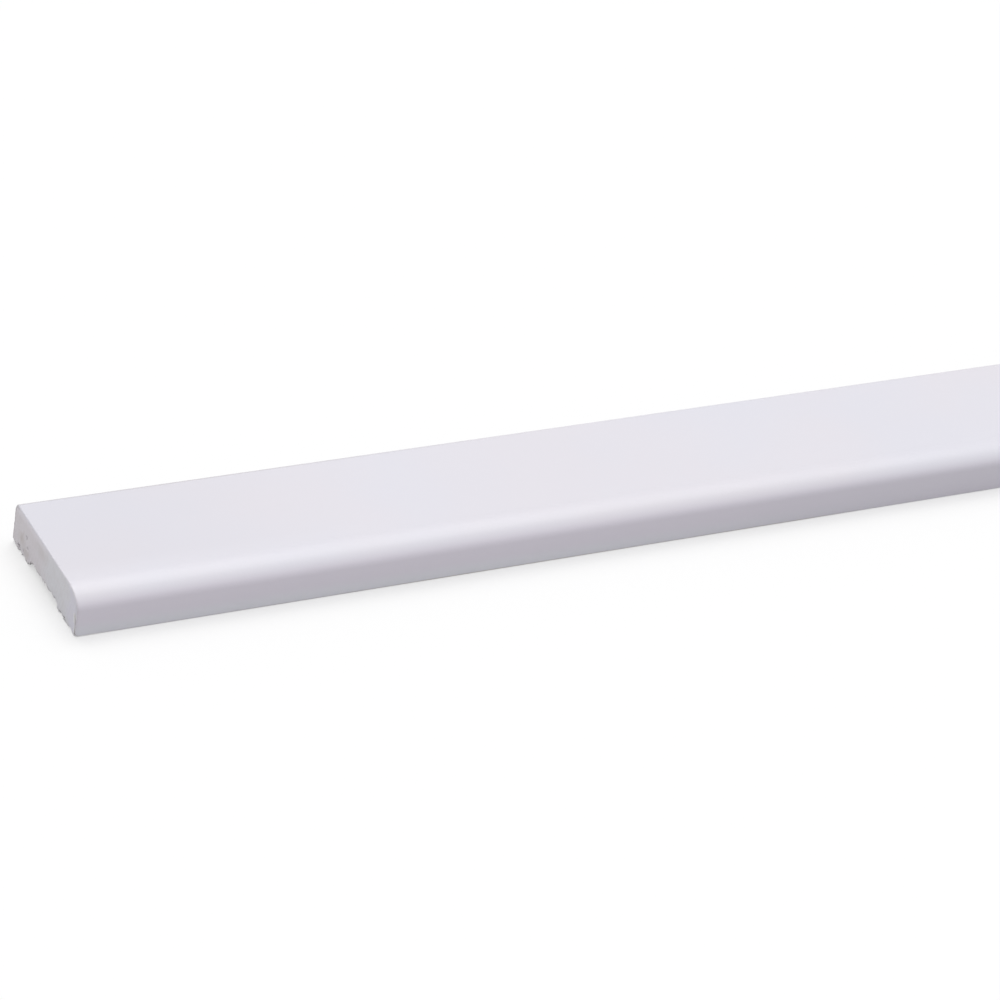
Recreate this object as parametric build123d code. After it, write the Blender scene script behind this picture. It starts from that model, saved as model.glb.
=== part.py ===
from build123d import *
import os

# Flat moulding: one length of painted softwood, planed and moulded in one pass.
# The origin is at the middle of the underside. +X runs along the length, +Y points out of the
# square back edge, -Y out of the rounded front edge, and +Z out of the show face.

# Overall size
length = 2400.0
width = 43.0
thickness = 12.0

# Rounded front edge: a quarter of an ellipse, wider than it is deep
nose_run = 8.5
nose_drop = 4.2

# Eased edges: the top of the back edge, and the outer edges of both feet
back_edge_round = 2.0
foot_edge_round = 0.4

# Underside: a shallow relief between two feet, so that the moulding sits flat on an uneven wall
front_foot = 12.0
back_foot = 11.0
relief_depth = 1.8
relief_corner_round = 0.8


def corners(face, points):
    """The corners of the face that lie at these points."""
    return [face.vertices().sort_by_distance(point)[0] for point in points]


def blank_section():
    """The planed strip with its elliptical nose: across is X and up is Y, with sharp corners."""
    front, back = -width / 2, width / 2
    nose_centre = (front + nose_run, thickness - nose_drop)
    nose = EllipticalCenterArc(nose_centre, nose_run, nose_drop, start_angle=90, arc_size=90)
    straight_edges = Polyline(nose @ 1, (front, 0), (back, 0), (back, thickness), nose @ 0)
    return make_face(nose + straight_edges)


def relief_section():
    """The shallow recess between the feet, rounded where the cutter's corners leave it."""
    relief_front = -width / 2 + front_foot
    relief_back = width / 2 - back_foot
    recess = make_face(
        Polyline(
            (relief_front, 0),
            (relief_back, 0),
            (relief_back, relief_depth),
            (relief_front, relief_depth),
            close=True,
        )
    )
    inner = corners(recess, [(relief_front, relief_depth), (relief_back, relief_depth)])
    return fillet(inner, radius=relief_corner_round)


def moulding_section():
    """The finished section, with the back edge and the outer edges of the feet eased."""
    front, back = -width / 2, width / 2
    section = blank_section() - relief_section()
    section = fillet(corners(section, [(back, thickness)]), radius=back_edge_round)
    return fillet(corners(section, [(front, 0), (back, 0)]), radius=foot_edge_round)


def moulding():
    """The section run out along the length, with both ends cut square."""
    return extrude(Plane.YZ * moulding_section(), amount=length / 2, both=True)


os.makedirs("parts", exist_ok=True)
export_step(moulding(), "parts/moulding.step")
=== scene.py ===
import math

import bpy
from mathutils import Matrix, Vector


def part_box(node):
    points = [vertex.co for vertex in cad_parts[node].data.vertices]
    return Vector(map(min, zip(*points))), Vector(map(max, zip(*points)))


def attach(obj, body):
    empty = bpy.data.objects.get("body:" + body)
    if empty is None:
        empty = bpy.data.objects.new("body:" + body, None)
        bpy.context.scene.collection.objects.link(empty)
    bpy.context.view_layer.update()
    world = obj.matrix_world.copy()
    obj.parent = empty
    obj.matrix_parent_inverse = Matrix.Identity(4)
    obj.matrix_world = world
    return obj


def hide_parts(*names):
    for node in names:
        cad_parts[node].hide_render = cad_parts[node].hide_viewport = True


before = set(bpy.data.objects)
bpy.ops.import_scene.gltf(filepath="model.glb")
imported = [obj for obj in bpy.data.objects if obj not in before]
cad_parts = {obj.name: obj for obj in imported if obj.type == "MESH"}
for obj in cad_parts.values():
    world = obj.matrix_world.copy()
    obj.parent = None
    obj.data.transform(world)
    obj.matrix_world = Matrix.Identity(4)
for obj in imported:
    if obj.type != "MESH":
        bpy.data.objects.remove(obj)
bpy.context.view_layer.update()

MM = 0.001
NOISE_SPAN = (0.3, 0.7)     # about the least and the most that smooth noise gives

# The section of the moulding, as it was planed
NOSE_RUN = 8.5 * MM
NOSE_DROP = 4.2 * MM
BACK_EDGE_ROUND = 2.0 * MM
FOOT_EDGE_ROUND = 0.4 * MM
FOOT_LIP_ROUND = 0.25 * MM
FRONT_FOOT = 12.0 * MM
BACK_FOOT = 11.0 * MM
RELIEF_DEPTH = 1.8 * MM
RELIEF_CORNER_ROUND = 0.8 * MM

# The sawn ends: the arris round the cut, the saw's marks and the end grain
NEAR_END = -1               # the side of the middle that the near end is on
END_ARRIS = 0.3 * MM
ARRIS_SHARES = (0.6, 1.8)   # how much of that the uneven arris takes
ARRIS_PATCH = 1.5 * MM
SAW_MARK_PITCH = 1.3 * MM
SAW_MARK_DEPTH = 0.02 * MM
SAW_MARK_LEAN = math.radians(72)
SAW_MARK_PATCH = 6 * MM
SAW_MARK_WANDER = 9.0       # in radians
END_GRAIN_SIZE = 0.9 * MM
END_GRAIN_DEPTH = 0.05 * MM
TEAR_REACH = 6.0 * MM       # the side walls take up the torn depth within this far of the end

# The torn lower arris: it is torn where its noise is over the limit
ARRIS_TEAR_PATCH = 1.6 * MM
ARRIS_TEAR_LIMIT = 0.46
ARRIS_TEAR_DEPTH = 0.4 * MM
ARRIS_TEAR_HEIGHT = 5.0 * MM
ARRIS_TEAR_EDGE = 0.3 * MM
ARRIS_TEAR_BACK = (6 * MM, 10 * MM)     # across: where it starts to grow, where it is full
ARRIS_TEAR_FRONT_SHARE = 0.65
ARRIS_TEAR_FAR_SHARE = 0.4
ARRIS_TEAR_HOLLOW = 0.6
DARK_LINE = (0.6 * MM, 0.15 * MM)       # above the lowest line: where it starts, where it is full
DARK_LINE_HOLLOW = 0.5

# The saw's burr: it hangs in the relief's corner, beside the near end's back foot
BURR_ACROSS = 9.9 * MM
BURR_HALF_WIDTH = 0.9 * MM
BURR_THICKNESS = 0.3 * MM
BURR_SHARE = 0.75           # how much of the relief's depth it fills

# Pits and torn spots in the near end, in millimetres: how far across from the middle, how far up,
# half their width, half their height, and how deep they go
TORN_SPOTS = [
    (13.0, 6.9, 0.45, 0.60, 0.60),
    (11.9, 4.1, 0.40, 0.60, 0.60),
    (14.3, 1.7, 0.45, 0.45, 0.45),
    (17.3, 1.2, 1.15, 0.70, 0.80),
    (19.6, 0.3, 0.90, 0.45, 0.50),
    (14.0, 0.1, 1.40, 0.50, 0.60),
    (-13.2, 0.4, 2.30, 0.45, 0.50),
    (-21.3, 0.2, 0.50, 0.55, 0.55),
]

# Brown stains on the near end, where the wood shows through the paint: the same, with how brown
# they are in place of a depth
STAINS = [
    (15.7, 4.3, 2.6, 2.7, 0.70),
    (12.2, 2.4, 2.6, 2.0, 0.60),
    (3.4, 9.0, 4.4, 2.8, 0.28),
]

# How ragged their outlines are, and where each starts and is full: 1 is its outline
TORN_RAG_SIZE = 0.6 * MM
TORN_RAG = 2.4
TORN_REACH = (1.1, 0.6)
RAISED_REACH = (2.2, 1.2)
STAIN_RAG_SIZE = 1.8 * MM
STAIN_RAG = 1.6
STAIN_REACH = (1.3, 0.2)

# How finely the moulding is divided
STATIONS = 101          # along the length, close together near both ends
STATION_GROWTH = 8.5    # how fast they spread out towards the middle
COLUMNS = 241
ROWS = 65
CORNER_STEPS = 40
BLOCK_SIDE = 0.4999     # the block runs from -0.5 to 0.5: what lies past this is on that side
ABOVE_UNDERSIDE = 0.001 # rows run from 0 to 1: what lies past this is above the underside

# Fibres left along the torn lower arris of the near end
FIBRES = 90
FIBRE_LENGTH = 1.0 * MM
FIBRE_THICKNESS = 0.05 * MM
FIBRE_TIP = 0.008 * MM
FIBRE_SIDES = 5
FIBRE_SEGMENTS = 5                  # along its length, so that it can bend
FIBRE_STRETCH = (0.5, 1.4)
FIBRE_MARGIN = 0.8 * MM             # bare at both edges
FIBRE_CROWDING = 0.6                # under 1 they crowd towards the back
FIBRE_RISE = (0.15 * MM, 1.5 * MM)  # above the lowest line
FIBRE_INSET = (0.15 * MM, 0.4 * MM)
FIBRE_TILT = 0.12
FIBRE_BEND_SIZE = 0.8 * MM
FIBRE_BEND = (0.15 * MM, 0.5 * MM, 0.5 * MM)
FIBRE_BEND_SEED = 4.0
FIBRE_ROOM = 0.02 * MM              # kept free of the floor and the cut
FIBRE_SEED = 5

# The skin's flat layout for a texture
LAYOUT_CUT_STATION = 46     # a strip ends at this station, counted from either end
LAYOUT_STRIPS = 4
LAYOUT_GAP = 2.0 * MM
LAYOUT_FACE = 46.0 * MM     # round the show face, and as far round the underside
LAYOUT_EDGE = 10.0 * MM
LAYOUT_STRIP = 2 * LAYOUT_FACE + 2 * LAYOUT_EDGE + 4 * LAYOUT_GAP
LAYOUT_END_SCALE = 7.0
LAYOUT_SIDE = 614.0 * MM

# The camera, measured from the near end's bottom front corner
CAMERA_FROM_CORNER = Vector((-324.3, -679.1, 543.8)) * MM
CAMERA_AZIMUTH = math.radians(32.89)
CAMERA_DOWN = math.radians(32.81)
CAMERA_ROLL = math.radians(10.66)
SENSOR_WIDTH = 36.0
LENS = 3.753 * SENSOR_WIDTH
NEAREST_SEEN = 0.01


class Maker:
    """Adds nodes to one tree. Each call returns the socket that the next one reads."""

    def __init__(self, tree):
        self.tree = tree

    def node(self, kind, feeds=(), **settings):
        node = self.tree.nodes.new(kind)
        for name, value in settings.items():
            setattr(node, name, value)
        for name, value in dict(feeds).items():
            self.feed(self.socket(node.inputs, name), value)
        return node

    def socket(self, sockets, name):
        return next(s for s in sockets if s.enabled and name in (s.name, s.identifier))

    def feed(self, socket, value):
        if isinstance(value, bpy.types.NodeSocket):
            self.tree.links.new(value, socket)
        else:
            socket.default_value = value

    def result(self, node, out=None):
        """The node's output of this name, or else its first one in use."""
        if out is None:
            return next(s for s in node.outputs if s.enabled)
        return self.socket(node.outputs, out)

    def get(self, kind, feeds=(), out=None, **settings):
        return self.result(self.node(kind, feeds, **settings), out)

    def worked_out(self, kind, operation, values):
        node = self.node(kind, operation=operation)
        for socket, value in zip(node.inputs, values):
            self.feed(socket, value)
        return self.result(node)

    def math(self, operation, *values):
        return self.worked_out("ShaderNodeMath", operation, values)

    def vector(self, operation, *values):
        return self.worked_out("ShaderNodeVectorMath", operation, values)

    def chained(self, operation, values):
        total = values[0]
        for value in values[1:]:
            total = self.math(operation, total, value)
        return total

    def add(self, *values):
        return self.chained("ADD", values)

    def times(self, *values):
        return self.chained("MULTIPLY", values)

    def most(self, *values):
        return self.chained("MAXIMUM", values)

    def least(self, a, b):
        return self.math("MINIMUM", a, b)

    def minus(self, a, b):
        return self.math("SUBTRACT", a, b)

    def over(self, a, b):
        return self.math("DIVIDE", a, b)

    def size_of(self, value):
        return self.math("ABSOLUTE", value)

    def beyond(self, value, limit):
        return self.math("GREATER_THAN", value, limit)

    def join_xyz(self, x, y, z):
        return self.get("ShaderNodeCombineXYZ", {"X": x, "Y": y, "Z": z})

    def split_xyz(self, vector):
        return self.node("ShaderNodeSeparateXYZ", {"Vector": vector}).outputs

    def ramp(self, value, start, full, to_start=0.0, to_full=1.0):
        """Eases from one amount to the other as the value goes from start to full, up or down."""
        feeds = {
            "Value": value,
            "From Min": start,
            "From Max": full,
            "To Min": to_start,
            "To Max": to_full,
        }
        return self.get("ShaderNodeMapRange", feeds, interpolation_type="SMOOTHSTEP")

    def noise(self, vector, feature, detail=2.0, seed=0.0):
        """Smooth noise from about 0.3 to 0.7, whose features are about this large in metres."""
        feeds = {"Vector": vector, "Scale": 1 / feature, "Detail": detail, "W": seed}
        return self.get("ShaderNodeTexNoise", feeds, noise_dimensions="4D")

    def near_half(self, along):
        """1 on the near end's side of the middle, 0 on the far end's."""
        return self.beyond(self.times(along, NEAR_END), 0)


def new_tree(name, sizes):
    """A geometry node tree with a named input for each size. Returns its maker and those inputs."""
    tree = bpy.data.node_groups.new(name, "GeometryNodeTree")
    tree.interface.new_socket("Geometry", in_out="OUTPUT", socket_type="NodeSocketGeometry")
    for size, value in sizes.items():
        kind = "NodeSocketInt" if isinstance(value, int) else "NodeSocketFloat"
        tree.interface.new_socket(size, in_out="INPUT", socket_type=kind)
    maker = Maker(tree)
    given = maker.node("NodeGroupInput").outputs
    return maker, {size: given[size] for size in sizes}


def made_mesh(name, tree, sizes):
    """Runs the tree with these sizes and returns its result as a plain mesh object."""
    carrier = bpy.data.objects.new(name + "_carrier", bpy.data.meshes.new(name + "_carrier"))
    bpy.context.scene.collection.objects.link(carrier)
    modifier = carrier.modifiers.new("shape", "NODES")
    modifier.node_group = tree
    for item in tree.interface.items_tree:
        if item.in_out == "INPUT" and item.name in sizes:
            modifier[item.identifier] = sizes[item.name]
    seen = carrier.evaluated_get(bpy.context.evaluated_depsgraph_get())
    mesh = bpy.data.meshes.new_from_object(seen)
    carrier.modifiers.remove(modifier)
    bpy.data.objects.remove(carrier)
    mesh.name = name
    made = bpy.data.objects.new(name, mesh)
    bpy.context.scene.collection.objects.link(made)
    return made


def chain(maker, corners, steps):
    """A curve in the YZ plane round these corners, from front to back. A corner is a quarter of an
    ellipse: its centre across and up, its radii across and up, its first angle and its turn."""
    per_corner = maker.add(steps, 1)
    line = maker.get("GeometryNodeMeshLine", {"Count": maker.times(per_corner, len(corners))})
    index = maker.get("GeometryNodeInputIndex")
    number = maker.math("FLOOR", maker.over(index, per_corner))
    share = maker.over(maker.math("MODULO", index, per_corner), steps)

    def pick(values):
        switch = maker.node("GeometryNodeIndexSwitch", {"Index": number}, data_type="VECTOR")
        while len(switch.index_switch_items) < len(values):
            switch.index_switch_items.new()
        for place, value in enumerate(values):
            maker.feed(switch.inputs[place + 1], value)
        return switch.outputs[0]

    centre = pick([maker.join_xyz(0, across, up) for across, up, *_ in corners])
    radii = pick([maker.join_xyz(0, c[2], c[3]) for c in corners])
    angles = pick([maker.join_xyz(math.radians(c[4]), math.radians(c[5]), 0) for c in corners])
    first, turn, _ = maker.split_xyz(angles)
    angle = maker.add(first, maker.times(turn, share))
    spoke = maker.join_xyz(0, maker.math("COSINE", angle), maker.math("SINE", angle))
    place = maker.vector("ADD", centre, maker.vector("MULTIPLY", radii, spoke))
    bent = maker.get("GeometryNodeSetPosition", {"Geometry": line, "Position": place})
    return maker.get("GeometryNodeMeshToCurve", {"Mesh": bent})


def underside_chain(maker, size):
    """Round the two feet and the relief between them."""
    front, back = maker.times(size["Width"], -0.5), maker.times(size["Width"], 0.5)
    foot, lip, inner = size["Foot Edge Round"], size["Foot Lip Round"], size["Relief Corner Round"]
    relief_front = maker.add(front, size["Front Foot"])
    relief_back = maker.minus(back, size["Back Foot"])
    ceiling = maker.minus(size["Relief Depth"], inner)
    corners = [
        (maker.add(front, foot), foot, foot, foot, 180, 90),
        (maker.minus(relief_front, lip), lip, lip, lip, 270, 90),
        (maker.add(relief_front, inner), ceiling, inner, inner, 180, -90),
        (maker.minus(relief_back, inner), ceiling, inner, inner, 90, -90),
        (maker.add(relief_back, lip), lip, lip, lip, 180, 90),
        (maker.minus(back, foot), foot, foot, foot, 270, 90),
    ]
    return chain(maker, corners, size["Corner Steps"])


def face_chain(maker, size):
    """Up the elliptical nose, over the show face and round the top of the back edge."""
    front, back = maker.times(size["Width"], -0.5), maker.times(size["Width"], 0.5)
    run, drop, edge = size["Nose Run"], size["Nose Drop"], size["Back Edge Round"]
    corners = [
        (maker.add(front, run), maker.minus(size["Thickness"], drop), run, drop, 180, -90),
        (maker.minus(back, edge), maker.minus(size["Thickness"], edge), edge, edge, 90, -90),
    ]
    return chain(maker, corners, size["Corner Steps"])


def station(maker, size, share):
    """How far a station is from the nearer end, from its share of the half length. Stations crowd
    towards both ends."""
    growth = size["Station Growth"]
    inward = maker.minus(1, maker.size_of(share))
    grown = maker.minus(maker.math("EXPONENT", maker.times(growth, inward)), 1)
    whole = maker.minus(maker.math("EXPONENT", growth), 1)
    return maker.times(size["Length"], 0.5, maker.over(grown, whole))


def eased(maker, size, across, up, from_end):
    """Draws the section in towards its middle over the last bit of the length, as a small uneven
    round."""
    place = maker.join_xyz(0, across, up)
    uneven = maker.ramp(maker.noise(place, ARRIS_PATCH, seed=17.5), *NOISE_SPAN, *ARRIS_SHARES)
    arris = maker.times(size["End Arris"], uneven)
    short = maker.most(maker.minus(arris, from_end), 0)
    squares = maker.minus(maker.times(arris, arris), maker.times(short, short))
    inset = maker.minus(arris, maker.math("SQRT", maker.most(squares, 0)))
    twice = maker.times(inset, 2)
    narrow = maker.minus(1, maker.over(twice, size["Width"]))
    low = maker.minus(1, maker.over(twice, size["Thickness"]))
    middle = maker.times(size["Thickness"], 0.5)
    raised = maker.add(middle, maker.times(maker.minus(up, middle), low))
    return maker.times(across, narrow), raised


def rag(maker, place, feature, amount, seed):
    """What to add to a spot's reach so that its outline is ragged."""
    return maker.times(maker.minus(maker.noise(place, feature, detail=3.0, seed=seed), 0.5), amount)


def reach_of(maker, across, up, spot, ragged):
    """How far a place on the end is from the middle of a spot: 1 at its ragged edge."""
    spot_across, spot_up, half_wide, half_high = spot[:4]
    sideways = maker.over(maker.minus(across, spot_across * MM), half_wide * MM)
    upward = maker.over(maker.minus(up, spot_up * MM), half_high * MM)
    return maker.add(maker.vector("LENGTH", maker.join_xyz(sideways, upward, 0)), ragged)


def torn_spots(maker, across, up, end):
    """The pits and torn spots of the near end: how deep they go, how hollow the end is there from 0 to
    1, and the rim of pushed-up paint round each."""
    ragged = rag(maker, maker.join_xyz(end, across, up), TORN_RAG_SIZE, TORN_RAG, 3.5)
    depth, hollow, raised = 0.0, 0.0, 0.0
    for spot in TORN_SPOTS:
        reach = reach_of(maker, across, up, spot, ragged)
        inside = maker.ramp(reach, *TORN_REACH)
        depth = maker.most(depth, maker.times(inside, spot[4] * MM))
        hollow = maker.most(hollow, inside)
        raised = maker.most(raised, maker.ramp(reach, *RAISED_REACH))
    here = maker.near_half(end)
    return [maker.times(value, here) for value in (depth, hollow, raised)]


def stained(maker, across, up, end):
    """How brown a stain makes a place on the near end, from 0 to 1."""
    ragged = rag(maker, maker.join_xyz(end, across, up), STAIN_RAG_SIZE, STAIN_RAG, 6.5)
    stain = 0.0
    for spot in STAINS:
        reach = reach_of(maker, across, up, spot, ragged)
        stain = maker.most(stain, maker.times(maker.ramp(reach, *STAIN_REACH), spot[4]))
    return maker.times(stain, maker.near_half(end))


def torn_arris(maker, across, above, end):
    """Where the saw tore the lower arris, from 0 to 1: more over the back foot, less at the far end."""
    noise = maker.noise(maker.join_xyz(end, across, 0), ARRIS_TEAR_PATCH, detail=4.0, seed=11.5)
    patchy = maker.minus(noise, ARRIS_TEAR_LIMIT)
    backward = maker.ramp(across, *ARRIS_TEAR_BACK, ARRIS_TEAR_FRONT_SHARE, 1.0)
    towards_near = maker.ramp(maker.times(end, NEAR_END), 0, 1, ARRIS_TEAR_FAR_SHARE, 1.0)
    height = maker.times(patchy, backward, towards_near, ARRIS_TEAR_HEIGHT)
    return maker.ramp(maker.minus(height, above), 0.0, ARRIS_TEAR_EDGE)


def sawn_relief(maker, across, up, above, end):
    """How far the sawn end lies inside the full length, and its hollow and raised masks."""
    place = maker.join_xyz(end, across, up)
    slant = maker.add(
        maker.times(across, math.sin(SAW_MARK_LEAN)), maker.times(up, math.cos(SAW_MARK_LEAN))
    )
    wander = maker.times(maker.noise(place, SAW_MARK_PATCH, seed=5.5), SAW_MARK_WANDER)
    phase = maker.add(maker.times(slant, 2 * math.pi / SAW_MARK_PITCH), wander)
    marks = maker.times(maker.add(maker.math("SINE", phase), 1), SAW_MARK_DEPTH / 2)
    grain = maker.times(maker.noise(place, END_GRAIN_SIZE, detail=3.0, seed=2.5), END_GRAIN_DEPTH)
    spot_depth, hollow, raised = torn_spots(maker, across, up, end)
    arris = torn_arris(maker, across, above, end)
    depth = maker.most(spot_depth, maker.times(arris, ARRIS_TEAR_DEPTH))
    hollow = maker.most(hollow, maker.times(arris, ARRIS_TEAR_HOLLOW))
    raised = maker.most(maker.minus(raised, hollow), 0)
    return maker.add(marks, grain, depth), hollow, raised


def saw_burr(maker, across, from_end, end):
    """How much of the relief's depth the burr at the near end fills, from 0 up."""
    sideways = maker.size_of(maker.minus(across, BURR_ACROSS))
    wide = maker.ramp(sideways, BURR_HALF_WIDTH, BURR_HALF_WIDTH / 3)
    thin = maker.ramp(from_end, BURR_THICKNESS, BURR_THICKNESS / 2)
    return maker.times(wide, thin, maker.near_half(end), BURR_SHARE)


def stored(maker, geometry, name, value, domain="POINT", data_type="FLOAT"):
    """The geometry with this value kept on it under this name."""
    feeds = {"Geometry": geometry, "Name": name, "Value": value}
    kind = "GeometryNodeStoreNamedAttribute"
    return maker.get(kind, feeds, data_type=data_type, domain=domain)


def strip_place(maker, size, face_along):
    """Which strip of the layout a face lies in, from 0, and how far along the moulding it starts."""
    half = maker.times(size["Length"], 0.5)
    cut_share = (STATIONS // 2 - LAYOUT_CUT_STATION) * 2 / (STATIONS - 1)
    cut = maker.minus(half, station(maker, size, cut_share))
    whereabouts = maker.times(face_along, 2)
    past_first = maker.beyond(whereabouts, -cut_share)
    past_middle = maker.beyond(whereabouts, 0)
    past_last = maker.beyond(whereabouts, cut_share)
    start = maker.minus(maker.times(past_first, maker.minus(half, cut)), half)
    start = maker.add(start, maker.times(past_middle, cut), maker.times(past_last, cut))
    return maker.add(past_first, past_middle, past_last), start


def laid_flat(maker, size, from_end, along, column, row, across, up):
    """The flat layout of the skin for a texture. The long walls lie in strips, one above the other,
    each with the show face, the underside and both edges. The two ends lie above them, enlarged."""
    centre = maker.get(
        "GeometryNodeFieldOnDomain",
        {"Value": maker.get("GeometryNodeInputPosition")},
        domain="FACE",
        data_type="FLOAT_VECTOR",
    )
    face_along, face_column, face_row = maker.split_xyz(centre)
    on_top = maker.beyond(face_row, BLOCK_SIDE)
    on_underside = maker.beyond(maker.times(face_row, -1), BLOCK_SIDE)
    on_back = maker.beyond(face_column, BLOCK_SIDE)
    on_front = maker.beyond(maker.times(face_column, -1), BLOCK_SIDE)
    on_end = maker.beyond(maker.size_of(face_along), BLOCK_SIDE)
    on_far_end = maker.beyond(face_along, BLOCK_SIDE)
    on_walls = maker.minus(1, on_end)

    strip, start = strip_place(maker, size, face_along)
    half = maker.times(size["Length"], 0.5)
    x = maker.times(maker.math("SIGN", along), maker.minus(half, from_end))
    wall_right = maker.add(maker.minus(x, start), LAYOUT_GAP)
    wide = maker.times(column, LAYOUT_FACE)
    high = maker.times(row, LAYOUT_EDGE)
    wall_up = maker.add(
        maker.times(on_underside, wide),
        maker.times(on_top, maker.add(wide, LAYOUT_FACE + LAYOUT_GAP)),
        maker.times(maker.add(on_back, on_front), maker.add(high, 2 * (LAYOUT_FACE + LAYOUT_GAP))),
        maker.times(on_back, LAYOUT_EDGE + LAYOUT_GAP),
        maker.times(strip, LAYOUT_STRIP),
    )

    end_right = maker.times(maker.add(across, maker.times(size["Width"], 0.5)), LAYOUT_END_SCALE)
    next_end = maker.add(LAYOUT_GAP, maker.times(size["Width"], LAYOUT_END_SCALE))
    end_right = maker.add(end_right, maker.times(on_far_end, next_end), LAYOUT_GAP)
    end_up = maker.add(maker.times(up, LAYOUT_END_SCALE), LAYOUT_STRIPS * LAYOUT_STRIP)

    right = maker.add(maker.times(wall_right, on_walls), maker.times(end_right, on_end))
    upward = maker.add(maker.times(wall_up, on_walls), maker.times(end_up, on_end), LAYOUT_GAP)
    return maker.join_xyz(maker.over(right, LAYOUT_SIDE), maker.over(upward, LAYOUT_SIDE), 0)


def moulding_tree(sizes, paint, sawn_end):
    """The moulding as one closed skin: a divided block whose columns run from the underside's line
    to the show face's line, at every station along the length."""
    maker, size = new_tree("moulding_run", sizes)
    cube_feeds = {
        "Vertices X": size["Stations"],
        "Vertices Y": size["Columns"],
        "Vertices Z": size["Rows"],
    }
    block = maker.get("GeometryNodeMeshCube", cube_feeds, out="Mesh")
    place = maker.split_xyz(maker.get("GeometryNodeInputPosition"))
    along = maker.times(place[0], 2)
    column = maker.add(place[1], 0.5)
    row = maker.add(place[2], 0.5)
    end = maker.math("SIGN", along)
    from_end = station(maker, size, along)

    def on_chain(curve):
        feeds = {"Curves": curve, "Factor": column}
        return maker.get("GeometryNodeSampleCurve", feeds, out="Position", use_all_curves=True)

    _, low_across, low_up = maker.split_xyz(on_chain(underside_chain(maker, size)))
    open_share = maker.minus(1, saw_burr(maker, low_across, from_end, end))
    low_up = maker.times(low_up, open_share)
    low_point = maker.join_xyz(0, low_across, low_up)
    high_point = on_chain(face_chain(maker, size))
    mix_feeds = {"Factor_Float": row, "A_Vector": low_point, "B_Vector": high_point}
    section_point = maker.get("ShaderNodeMix", mix_feeds, data_type="VECTOR")
    _, across, up = maker.split_xyz(section_point)
    above = maker.minus(up, low_up)

    torn, hollow, raised = sawn_relief(maker, across, up, above, end)
    kept = maker.most(maker.minus(1, maker.over(from_end, TEAR_REACH)), 0)
    inward = maker.add(from_end, maker.times(torn, kept))
    x = maker.times(end, maker.minus(maker.times(size["Length"], 0.5), inward))
    on_end = maker.beyond(maker.size_of(place[0]), BLOCK_SIDE)
    dark_line = maker.times(maker.ramp(above, *DARK_LINE), DARK_LINE_HOLLOW)
    underside = maker.minus(1, maker.beyond(row, ABOVE_UNDERSIDE))

    marked = stored(maker, block, "hollow", maker.most(hollow, dark_line))
    marked = stored(maker, marked, "raised", raised)
    marked = stored(maker, marked, "stain", stained(maker, across, up, end))
    marked = stored(maker, marked, "underside", underside)
    marked = stored(maker, marked, "sawn", on_end, domain="FACE")
    flat = laid_flat(maker, size, from_end, along, column, row, across, up)
    mapped = stored(maker, marked, "OFBake", flat, domain="CORNER", data_type="FLOAT2")
    across, up = eased(maker, size, across, up, from_end)
    shaped = maker.get(
        "GeometryNodeSetPosition", {"Geometry": mapped, "Position": maker.join_xyz(x, across, up)}
    )
    smooth = maker.get("GeometryNodeSetShadeSmooth", {"Geometry": shaped, "Shade Smooth": True})
    real = maker.get("GeometryNodeRealizeInstances", {"Geometry": smooth})
    painted = maker.get("GeometryNodeSetMaterial", {"Geometry": real, "Material": paint})
    sawn = maker.get("GeometryNodeInputNamedAttribute", {"Name": "sawn"}, out="Attribute")
    finished = maker.get(
        "GeometryNodeSetMaterial",
        {"Geometry": painted, "Selection": sawn, "Material": sawn_end},
    )
    maker.feed(maker.node("NodeGroupOutput").inputs["Geometry"], finished)
    return maker.tree


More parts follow.
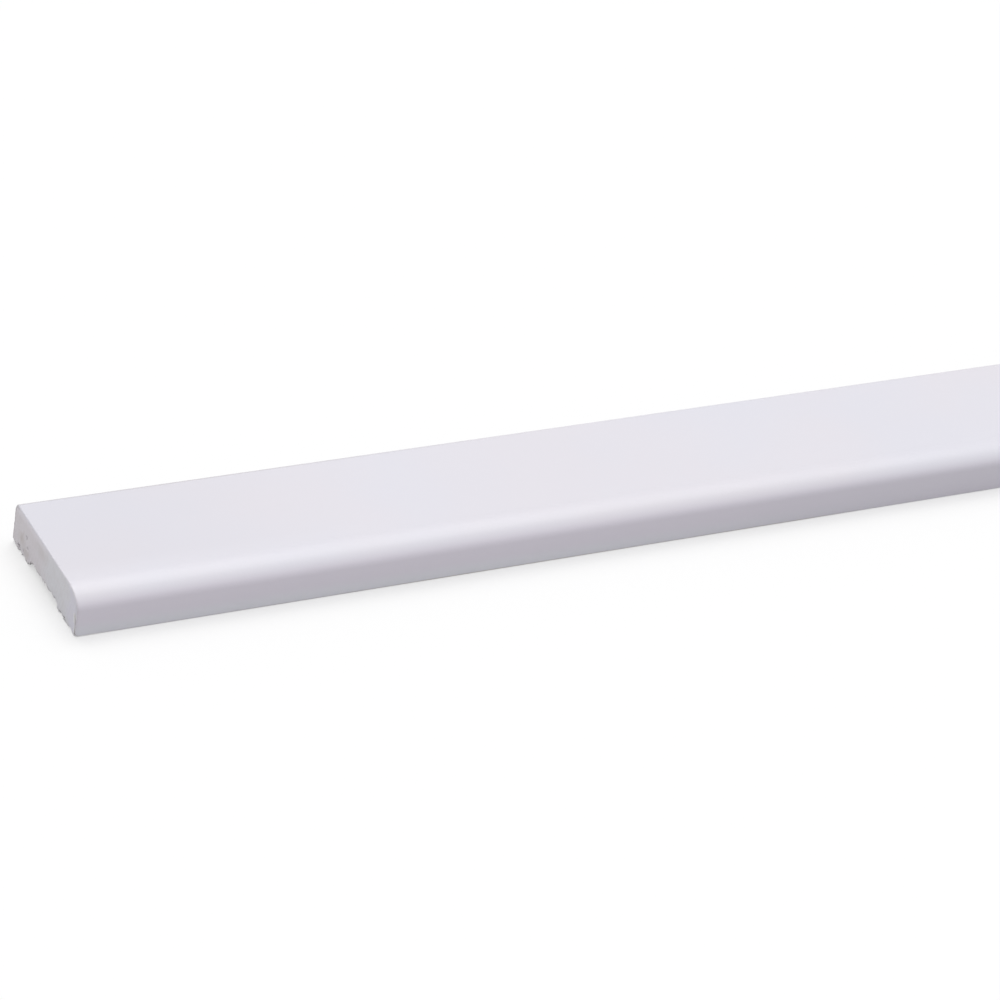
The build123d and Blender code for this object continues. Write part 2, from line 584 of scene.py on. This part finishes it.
def fibre_tree(sizes, material):
    """Slivers that the saw left along the lower arris of the near end. They lie just under the cut,
    so they show only where they cross a torn spot."""
    maker, size = new_tree("torn_fibres", sizes)
    points = maker.get("GeometryNodeMeshLine", {"Count": size["Fibres"]})

    def drawn(low, high, draw):
        feeds = {"Min": low, "Max": high, "Seed": maker.add(size["Seed"], draw)}
        return maker.get("FunctionNodeRandomValue", feeds, data_type="FLOAT")

    half_long = maker.times(size["Length"], 0.5)
    half_wide = maker.times(size["Width"], 0.5)
    towards_back = maker.math("POWER", drawn(0.0, 1.0, 1), FIBRE_CROWDING)
    edge = maker.minus(half_wide, FIBRE_MARGIN)
    across = maker.minus(maker.times(edge, 2, towards_back), edge)
    past_front_foot = maker.beyond(across, maker.minus(size["Front Foot"], half_wide))
    before_back_foot = maker.beyond(maker.minus(half_wide, size["Back Foot"]), across)
    lowest = maker.times(size["Relief Depth"], past_front_foot, before_back_foot)
    up = maker.add(lowest, drawn(*FIBRE_RISE, 2))
    x = maker.times(NEAR_END, maker.minus(half_long, drawn(*FIBRE_INSET, 3)))
    placed = maker.get(
        "GeometryNodeSetPosition", {"Geometry": points, "Position": maker.join_xyz(x, across, up)}
    )
    sliver = maker.get(
        "GeometryNodeMeshCone",
        {
            "Vertices": FIBRE_SIDES,
            "Side Segments": FIBRE_SEGMENTS,
            "Radius Top": FIBRE_TIP,
            "Radius Bottom": size["Thickness"],
            "Depth": size["Fibre Length"],
        },
        out="Mesh",
    )
    turn = maker.join_xyz(drawn(-math.pi, math.pi, 4), drawn(-FIBRE_TILT, FIBRE_TILT, 5), 0)
    instances = maker.get(
        "GeometryNodeInstanceOnPoints",
        {
            "Points": placed,
            "Instance": sliver,
            "Rotation": maker.get("FunctionNodeEulerToRotation", {"Euler": turn}),
            "Scale": maker.join_xyz(1, 1, drawn(*FIBRE_STRETCH, 6)),
        },
    )
    loose = maker.get("GeometryNodeRealizeInstances", {"Geometry": instances})
    spot = maker.get("GeometryNodeInputPosition")
    bend_feeds = {"Vector": spot, "Scale": 1 / FIBRE_BEND_SIZE, "W": FIBRE_BEND_SEED}
    bend = maker.get("ShaderNodeTexNoise", bend_feeds, out="Color", noise_dimensions="4D")
    centred = maker.vector("SUBTRACT", bend, (0.5, 0.5, 0.5))
    pull = maker.vector("MULTIPLY", centred, FIBRE_BEND)
    bent = maker.split_xyz(maker.vector("ADD", spot, pull))
    most_x = maker.minus(half_long, FIBRE_ROOM)
    kept_x = maker.most(maker.least(bent[0], most_x), maker.times(most_x, -1))
    kept = maker.join_xyz(kept_x, bent[1], maker.most(bent[2], FIBRE_ROOM))
    shaped = maker.get("GeometryNodeSetPosition", {"Geometry": loose, "Position": kept})
    smooth = maker.get("GeometryNodeSetShadeSmooth", {"Geometry": shaped, "Shade Smooth": True})
    real = maker.get("GeometryNodeRealizeInstances", {"Geometry": smooth})
    finished = maker.get("GeometryNodeSetMaterial", {"Geometry": real, "Material": material})
    maker.feed(maker.node("NodeGroupOutput").inputs["Geometry"], finished)
    return maker.tree


def new_material(name):
    """A material with an empty tree, its maker, and the object's own coordinates."""
    material = bpy.data.materials.new(name)
    material.use_nodes = True
    material.node_tree.nodes.clear()
    maker = Maker(material.node_tree)
    return material, maker, maker.get("ShaderNodeTexCoord", out="Object")


def attribute(maker, name):
    return maker.get("ShaderNodeAttribute", out="Fac", attribute_name=name)


def blend(maker, share, first, second):
    """From the first colour to the second. Each is a colour or a socket."""
    feeds = {"Factor_Float": share}
    for socket, colour in (("A_Color", first), ("B_Color", second)):
        feeds[socket] = colour if isinstance(colour, bpy.types.NodeSocket) else (*colour, 1)
    return maker.get("ShaderNodeMix", feeds, data_type="RGBA")


def bump(maker, height, depth, before=None):
    feeds = {"Height": height, "Strength": 1.0, "Distance": depth}
    if before is not None:
        feeds["Normal"] = before
    return maker.get("ShaderNodeBump", feeds)


def finish(maker, colour, roughness, normal):
    feeds = {"Base Color": colour, "Roughness": roughness, "Normal": normal}
    shader = maker.get("ShaderNodeBsdfPrincipled", feeds)
    maker.node("ShaderNodeOutputMaterial", {"Surface": shader})


# The white paint. From here on, a pair says where a mark starts and where it is full. Shares say how
# much of it there is at those two
COOL_WHITE = (0.776, 0.768, 0.838)
WARM_WHITE = (0.790, 0.766, 0.824)
THIN_WHITE = (0.700, 0.672, 0.660)
# painted light: a paler white for the underside near both cuts
PAINTED_LIGHT_WHITE = (0.950, 0.945, 0.960)
# Painted shade and painted light for the front edge: its shaded side, its lighter foot and its darker
# middle length
EDGE_SHADE_MAUVE = (0.783, 0.742, 0.831)
EDGE_FOOT_LIGHT = (0.808, 0.806, 0.872)
EDGE_SHADED = (0.728, 0.698, 0.781)
# bare wood, also used as the colour of painted shade
BARE_WOOD_AND_SHADE = (0.300, 0.262, 0.250)
PAINT_ROUGHNESS = (0.28, 0.32)
ROUGHNESS_PATCH = 25 * MM
UNDERSIDE_ROUGHER = 0.15
DRIFT_SIZE = 60 * MM
DRIFT_SPAN = (0.35, 0.65)
GRAIN_SIZE = 1.1 * MM
GRAIN_STRETCH = (0.02, 1.0, 1.0)
GRAIN_DEPTH = 0.006 * MM
UNDERSIDE_GRAIN_DEPTH = 0.02 * MM
THIN_SPAN = (0.40, 0.66)    # by the grain's noise
THIN_SHARES = (0.15, 1.0)
SPRAY_SIZE = 0.8 * MM
SPRAY_DEPTH = 0.010 * MM
KNIFE_MARK_PITCH = 1.5 * MM
KNIFE_MARK_DEPTH = 0.0006 * MM

# Painted shade on the front edge, by height and by the distance from the nearer cut: a mauve tint for
# its shaded side, painted light at its foot, and deeper painted shade away from the cuts
EDGE_UP = (11.2 * MM, 8.5 * MM)
EDGE_SHADE_MAUVE_UP = (1.0 * MM, 5.0 * MM)
EDGE_SHADED_FROM_CUT = (120 * MM, 280 * MM)

# Painted light on the underside, and the wear and painted shade, by the distance from the nearer cut
PAINTED_LIGHT_FROM_CUT = (12 * MM, 3 * MM)
HAIRLINE_FROM_CUT = (0.42 * MM, 0.16 * MM)
HAIRLINE_BREAK_SIZE = 1.3 * MM
HAIRLINE_BREAK_SPAN = (0.34, 0.50)
HAIRLINE_BREAK_SHARES = (0.5, 1.0)
HAIRLINE_SHARE = 0.5
# painted shade: a darker band on the paint beside the cuts
CUT_EDGE_SHADE_FROM_CUT = (1.3 * MM, 0.3 * MM)
CUT_EDGE_SHADE_SHARE = 0.10
# painted shade along the back edge's round, deepest near the cuts
BACK_EDGE_SHADE_FROM_CUT = (165 * MM, 30 * MM)
BACK_EDGE_SHADE_SHARES = (0.14, 0.46)
BACK_EDGE_SHADE_FROM_BACK = (2.2 * MM, 1.0 * MM)
BACK_EDGE_SHADE_FROM_TOP = (1.8 * MM, 0.6 * MM)
# painted shade: the show face a little darker near the cuts
SHOW_FACE_SHADE_FROM_CUT = (100 * MM, 10 * MM)
SHOW_FACE_SHADE_ACROSS = (-15 * MM, -7 * MM)
SHOW_FACE_SHADE_SHARE = 0.06

# How much of the hairline and the painted shade beside it shows: little of them behind the front
# edge, and most at its foot
REST_WEAR_AND_SHADE = 0.12
WEAR_AND_SHADE_FROM_FRONT = (1.2 * MM, 0.4 * MM)
FRONT_WEAR_AND_SHADE = (0.4, 1.0)
FRONT_WEAR_AND_SHADE_UP = (1.4 * MM, 0.6 * MM)


def edge_painted_shade(maker, colour, place, from_cut, underside):
    """The colour with painted shade on the front edge: a mauve tint for its shaded side above, painted
    light that lifts its foot, and deeper painted shade away from the cut ends."""
    _, y, z = maker.split_xyz(place)
    tone = blend(maker, maker.ramp(z, *EDGE_SHADE_MAUVE_UP), EDGE_FOOT_LIGHT, EDGE_SHADE_MAUVE)
    tone = blend(maker, maker.ramp(from_cut, *EDGE_SHADED_FROM_CUT), tone, EDGE_SHADED)
    on_front = maker.times(maker.beyond(0, y), maker.minus(1, underside))
    return blend(maker, maker.times(maker.ramp(z, *EDGE_UP), on_front), colour, tone)


def wear_and_painted_shade(maker, place, from_cut):
    """How far the paint is turned to the bare wood's brown, from 0 to 1: a broken hairline where the
    paint has come away along the cuts, a band of painted shade beside it, both strongest at the foot of
    the front edge, painted shade along the back edge's round, and painted shade over the show face near
    the cuts."""
    low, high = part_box("moulding")
    _, y, z = maker.split_xyz(place)
    front_wear_and_shade = maker.ramp(z, *FRONT_WEAR_AND_SHADE_UP, *FRONT_WEAR_AND_SHADE)
    wear_and_shade_share = maker.ramp(maker.minus(y, low.y), *WEAR_AND_SHADE_FROM_FRONT, REST_WEAR_AND_SHADE, front_wear_and_shade)
    breaks = maker.noise(place, HAIRLINE_BREAK_SIZE, detail=3.0, seed=13.5)
    broken = maker.ramp(breaks, *HAIRLINE_BREAK_SPAN, *HAIRLINE_BREAK_SHARES)
    hairline = maker.times(maker.ramp(from_cut, *HAIRLINE_FROM_CUT), wear_and_shade_share, broken, HAIRLINE_SHARE)
    cut_edge_shade = maker.times(maker.ramp(from_cut, *CUT_EDGE_SHADE_FROM_CUT), wear_and_shade_share, CUT_EDGE_SHADE_SHARE)
    at_back = maker.ramp(maker.minus(high.y, y), *BACK_EDGE_SHADE_FROM_BACK)
    at_top = maker.ramp(maker.minus(high.z, z), *BACK_EDGE_SHADE_FROM_TOP)
    back_edge_shade = maker.times(at_back, at_top, maker.ramp(from_cut, *BACK_EDGE_SHADE_FROM_CUT, *BACK_EDGE_SHADE_SHARES))
    near_cut = maker.ramp(from_cut, *SHOW_FACE_SHADE_FROM_CUT, 0, SHOW_FACE_SHADE_SHARE)
    show_face_shade = maker.times(near_cut, maker.ramp(y, *SHOW_FACE_SHADE_ACROSS))
    return maker.most(hairline, cut_edge_shade, back_edge_shade, show_face_shade)


def white_paint():
    """Satin white on moulded softwood: a fine spray texture, planer marks, grain that faintly shows
    through, a slow drift between cool and warm, bare wood along the edges with painted shade beside
    it, painted shade and painted light on the front edge, and an underside with thinner paint that is
    made paler at both cuts as painted light."""
    material, maker, place = new_material("white_satin_paint")
    _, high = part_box("moulding")
    x = maker.split_xyz(place)[0]
    from_cut = maker.minus(high.x, maker.size_of(x))
    underside = attribute(maker, "underside")
    along_grain = maker.vector("MULTIPLY", place, GRAIN_STRETCH)
    grain = maker.noise(along_grain, GRAIN_SIZE, detail=4.0, seed=7.5)
    spray = maker.noise(place, SPRAY_SIZE, seed=9.5)
    knife = maker.math("SINE", maker.times(x, 2 * math.pi / KNIFE_MARK_PITCH))

    drift = maker.ramp(maker.noise(place, DRIFT_SIZE, seed=1.5), *DRIFT_SPAN)
    colour = blend(maker, drift, COOL_WHITE, WARM_WHITE)
    # painted shade and painted light on the front edge
    colour = edge_painted_shade(maker, colour, place, from_cut, underside)
    thin = maker.times(underside, maker.ramp(grain, *THIN_SPAN, *THIN_SHARES))
    colour = blend(maker, thin, colour, THIN_WHITE)
    # painted light that lifts the shade under the relief near both cuts
    painted_light = maker.times(underside, maker.ramp(from_cut, *PAINTED_LIGHT_FROM_CUT))
    colour = blend(maker, painted_light, colour, PAINTED_LIGHT_WHITE)
    # bare wood where the paint has come away, and painted shade in the same brown
    colour = blend(maker, wear_and_painted_shade(maker, place, from_cut), colour, BARE_WOOD_AND_SHADE)

    patch = maker.noise(place, ROUGHNESS_PATCH, detail=3.0, seed=15.5)
    roughness = maker.add(
        maker.ramp(patch, *NOISE_SPAN, *PAINT_ROUGHNESS),
        maker.times(underside, UNDERSIDE_ROUGHER),
    )
    grain_depth = maker.add(GRAIN_DEPTH, maker.times(underside, UNDERSIDE_GRAIN_DEPTH))
    normal = bump(maker, spray, SPRAY_DEPTH)
    normal = bump(maker, grain, grain_depth, normal)
    normal = bump(maker, knife, KNIFE_MARK_DEPTH, normal)
    finish(maker, colour, roughness, normal)
    return material


# The paint on the sawn ends. Tones go across from the middle and up; the sway bends their borders
END_GREY = (0.808, 0.802, 0.846)
END_MAUVE = (0.800, 0.760, 0.800)
END_BROWN = (0.640, 0.590, 0.585)
END_LAVENDER = (0.806, 0.792, 0.880)
END_PALE = (0.880, 0.870, 0.900)
# a painted highlight just under the end's top arris, towards the back
END_TOP_HIGHLIGHT = (0.885, 0.845, 0.905)
# bare wood in the torn spots and along the lower arris, darkened past the wood's own colour as painted
# shade in those hollows
HOLLOW_WOOD_AND_SHADE = (0.250, 0.222, 0.215)
SWAY_SIZE = 6 * MM
SWAY = 24 * MM
MAUVE_ACROSS = (-3 * MM, 8 * MM)
LAVENDER_ACROSS = (-13 * MM, -19 * MM)
TOP_HIGHLIGHT_ACROSS = (-8 * MM, 6 * MM)
TOP_HIGHLIGHT_UP = (9.4 * MM, 11.2 * MM)
TOP_HIGHLIGHT_SHARE = 0.75
BLOTCH_SIZE = 2.8 * MM
BLOTCH_SPAN = (0.48, 0.66)
BLOTCH_SHARE = 0.12
END_FIBRE_SIZE = 0.35 * MM
END_FIBRE_SPAN = (0.55, 0.75)
END_FIBRE_SHARE = 0.06
END_FIBRE_DEPTH = 0.03 * MM
RAISED_SHARE = 0.35
HOLLOW_SHARE = 0.65
RIM_FROM_OUTLINE = (1.1 * MM, 0.3 * MM)
RIM_FROM_BACK = (4.0 * MM, 2.0 * MM)
RIM_SHARE = 0.5
END_ROUGHNESS = (0.52, 0.66)

# The crack beside the near end's front edge: it leans back as it rises, with a duller sliver in front
# of it and a strip of flaky white behind it
STRIP_WHITE = (0.930, 0.920, 0.950)
CRACK_START = 1.6 * MM
CRACK_LEAN = 0.29
CRACK_NEAREST = 0.45 * MM
CRACK_FURTHEST = 1.4 * MM
CRACK_FOOT_UP = (0.1 * MM, 0.5 * MM)
CRACK_TOP_UP = (6.8 * MM, 5.6 * MM)
CRACK_WIDTH = (0.34 * MM, 0.16 * MM)
CRACK_SHARE = 0.85
SLIVER_BEHIND = (0.15 * MM, -0.15 * MM)
SLIVER_SHARE = 0.15
STRIP_BEHIND = (1.3 * MM, 0.8 * MM)
STRIP_SHARE = 0.9
FLAKE_SIZE = 1.5 * MM
FLAKE_SPAN = (0.38, 0.50)
FLAKE_SHARES = (0.3, 1.0)


def end_tones(maker, place):
    """The end's tones: lavender at the front, grey, then mauve to the back, with brown stains and a
    pink painted highlight along the top towards the back."""
    _, y, z = maker.split_xyz(place)
    sway = maker.times(maker.minus(maker.noise(place, SWAY_SIZE, detail=3.0, seed=21.5), 0.5), SWAY)
    swayed = maker.add(y, sway)
    colour = blend(maker, maker.ramp(swayed, *MAUVE_ACROSS), END_GREY, END_MAUVE)
    colour = blend(maker, maker.ramp(swayed, *LAVENDER_ACROSS), colour, END_LAVENDER)
    blotch = maker.ramp(maker.noise(place, BLOTCH_SIZE, detail=3.0, seed=25.5), *BLOTCH_SPAN)
    stain = maker.add(attribute(maker, "stain"), maker.times(blotch, BLOTCH_SHARE))
    colour = blend(maker, stain, colour, END_BROWN)
    # the painted highlight along the top of the end
    top_highlight = maker.times(maker.ramp(z, *TOP_HIGHLIGHT_UP), maker.ramp(y, *TOP_HIGHLIGHT_ACROSS), TOP_HIGHLIGHT_SHARE)
    return blend(maker, top_highlight, colour, END_TOP_HIGHLIGHT)


def cracked(maker, colour, place):
    """The colour with the crack beside the near end's front edge."""
    low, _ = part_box("moulding")
    x, y, z = maker.split_xyz(place)
    here = maker.near_half(x)
    lean = maker.times(maker.minus(z, CRACK_START), CRACK_LEAN)
    crack_line = maker.least(maker.most(lean, CRACK_NEAREST), CRACK_FURTHEST)
    behind = maker.minus(maker.minus(y, low.y), crack_line)
    sliver = maker.times(maker.ramp(behind, *SLIVER_BEHIND), here, SLIVER_SHARE)
    colour = blend(maker, sliver, colour, BARE_WOOD_AND_SHADE)
    low_down = maker.times(here, maker.ramp(z, *CRACK_FOOT_UP), maker.ramp(z, *CRACK_TOP_UP))
    flakes = maker.noise(place, FLAKE_SIZE, detail=3.0, seed=27.5)
    flaky = maker.ramp(flakes, *FLAKE_SPAN, *FLAKE_SHARES)
    strip = maker.times(maker.ramp(behind, *STRIP_BEHIND), low_down, flaky, STRIP_SHARE)
    colour = blend(maker, strip, colour, STRIP_WHITE)
    crack = maker.times(maker.ramp(maker.size_of(behind), *CRACK_WIDTH), low_down, CRACK_SHARE)
    return blend(maker, crack, colour, BARE_WOOD_AND_SHADE)


def back_rim(maker, place):
    """How much darker the end is at its rim, along the back edge and the round above it."""
    _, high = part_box("moulding")
    _, y, z = maker.split_xyz(place)
    past_y = maker.most(maker.minus(y, high.y - BACK_EDGE_ROUND), 0)
    past_z = maker.most(maker.minus(z, high.z - BACK_EDGE_ROUND), 0)
    out = maker.vector("LENGTH", maker.join_xyz(past_y, past_z, 0))
    rim = maker.ramp(maker.minus(BACK_EDGE_ROUND, out), *RIM_FROM_OUTLINE, 0, RIM_SHARE)
    return maker.times(rim, maker.ramp(maker.minus(high.y, y), *RIM_FROM_BACK))


def sawn_end_paint():
    """The same white laid thinly over the sawn end grain: warmer at the back, where the wood shows
    through, cooler towards the front, and dark in the torn spots, with painted shade in them, in the
    crack and along the back rim."""
    material, maker, place = new_material("sawn_end_paint")
    fibres = maker.noise(place, END_FIBRE_SIZE, detail=3.0, seed=23.5)
    dark_fibres = maker.times(maker.ramp(fibres, *END_FIBRE_SPAN), END_FIBRE_SHARE)
    raised = maker.times(attribute(maker, "raised"), RAISED_SHARE)
    hollow = maker.times(attribute(maker, "hollow"), HOLLOW_SHARE)
    colour = end_tones(maker, place)
    colour = blend(maker, dark_fibres, colour, BARE_WOOD_AND_SHADE)
    colour = blend(maker, raised, colour, END_PALE)
    # bare wood and painted shade in the hollows
    colour = blend(maker, hollow, colour, HOLLOW_WOOD_AND_SHADE)
    colour = cracked(maker, colour, place)
    colour = blend(maker, back_rim(maker, place), colour, BARE_WOOD_AND_SHADE)
    roughness = maker.ramp(fibres, *NOISE_SPAN, *END_ROUGHNESS)
    finish(maker, colour, roughness, bump(maker, fibres, END_FIBRE_DEPTH))
    return material


def make_moulding(paint, sawn_end):
    low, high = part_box("moulding")
    sizes = {
        "Length": high.x - low.x,
        "Width": high.y - low.y,
        "Thickness": high.z - low.z,
        "Nose Run": NOSE_RUN,
        "Nose Drop": NOSE_DROP,
        "Back Edge Round": BACK_EDGE_ROUND,
        "Foot Edge Round": FOOT_EDGE_ROUND,
        "Foot Lip Round": FOOT_LIP_ROUND,
        "Front Foot": FRONT_FOOT,
        "Back Foot": BACK_FOOT,
        "Relief Depth": RELIEF_DEPTH,
        "Relief Corner Round": RELIEF_CORNER_ROUND,
        "End Arris": END_ARRIS,
        "Station Growth": STATION_GROWTH,
        "Stations": STATIONS,
        "Columns": COLUMNS,
        "Rows": ROWS,
        "Corner Steps": CORNER_STEPS,
    }
    tree = moulding_tree(sizes, paint, sawn_end)
    moulding = made_mesh("painted_moulding", tree, sizes)
    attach(moulding, "root")
    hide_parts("moulding")


def make_fibres(sawn_end):
    low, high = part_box("moulding")
    sizes = {
        "Length": high.x - low.x,
        "Width": high.y - low.y,
        "Front Foot": FRONT_FOOT,
        "Back Foot": BACK_FOOT,
        "Relief Depth": RELIEF_DEPTH,
        "Fibre Length": FIBRE_LENGTH,
        "Thickness": FIBRE_THICKNESS,
        "Fibres": FIBRES,
        "Seed": FIBRE_SEED,
    }
    fibres = made_mesh("torn_fibres", fibre_tree(sizes, sawn_end), sizes)
    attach(fibres, "root")


FLOOR_SIZE = 30.0
FLOOR_GREY = (0.5, 0.5, 0.5, 1.0)
FLOOR_LIFT = 0.5
WORLD_LIGHT = 0.817

# Each softbox: the way it shines from, how wide it looks in degrees, and its strength
SOFTBOXES = {
    "back_softbox": ((0.0, 0.5, 0.866), 40, 0.518),
    "key_softbox": ((0.38, 0.33, 0.86), 30, 0.387),
    "overhead_softbox": ((0.0, 0.0, 1.0), 60, 0.334),
}


def seen_directly(maker):
    """1 for what the camera, a reflection or a clear body shows, 0 for what lights the object."""
    path = maker.node("ShaderNodeLightPath").outputs
    return maker.most(path["Is Camera Ray"], path["Is Glossy Ray"], path["Is Transmission Ray"])


def make_floor():
    mesh = bpy.data.meshes.new("floor")
    half = FLOOR_SIZE / 2
    corners = [(-half, -half, 0), (half, -half, 0), (half, half, 0), (-half, half, 0)]
    mesh.from_pydata(corners, [], [(0, 1, 2, 3)])
    floor = bpy.data.objects.new("floor", mesh)
    bpy.context.scene.collection.objects.link(floor)
    material, maker, _ = new_material("pale_floor")
    matt = maker.get("ShaderNodeBsdfDiffuse", {"Color": FLOOR_GREY})
    lift = maker.get("ShaderNodeEmission", {"Strength": maker.times(seen_directly(maker), FLOOR_LIFT)})
    both = maker.node("ShaderNodeAddShader")
    maker.feed(both.inputs[0], matt)
    maker.feed(both.inputs[1], lift)
    maker.node("ShaderNodeOutputMaterial", {"Surface": both.outputs[0]})
    mesh.materials.append(material)


def make_light():
    world = bpy.data.worlds.new("studio")
    world.use_nodes = True
    maker = Maker(world.node_tree)
    world.node_tree.nodes.clear()
    strength = maker.ramp(seen_directly(maker), 0, 1, WORLD_LIGHT, 1.0)
    background = maker.get("ShaderNodeBackground", {"Strength": strength})
    maker.node("ShaderNodeOutputWorld", {"Surface": background})
    bpy.context.scene.world = world
    for name, (source, width, strength) in SOFTBOXES.items():
        sun = bpy.data.lights.new(name, "SUN")
        sun.energy = strength
        sun.angle = math.radians(width)
        lamp = bpy.data.objects.new(name, sun)
        lamp.rotation_euler = Vector(source).to_track_quat("Z", "Y").to_euler()
        bpy.context.scene.collection.objects.link(lamp)


def make_camera():
    low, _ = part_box("moulding")
    camera = bpy.data.cameras.new("camera")
    camera.sensor_width = SENSOR_WIDTH
    camera.lens = LENS
    camera.clip_start = NEAREST_SEEN
    holder = bpy.data.objects.new("camera", camera)
    turn = Matrix.Rotation(-CAMERA_AZIMUTH, 4, "Z")
    tip = Matrix.Rotation(math.pi / 2 - CAMERA_DOWN, 4, "X")
    roll = Matrix.Rotation(CAMERA_ROLL, 4, "Z")
    holder.matrix_world = Matrix.Translation(low + CAMERA_FROM_CORNER) @ turn @ tip @ roll
    bpy.context.scene.collection.objects.link(holder)
    bpy.context.scene.camera = holder


make_camera()
make_light()
make_floor()
paint = white_paint()
sawn_end = sawn_end_paint()
make_moulding(paint, sawn_end)
make_fibres(sawn_end)
bpy.context.scene.view_settings.view_transform = "Standard"
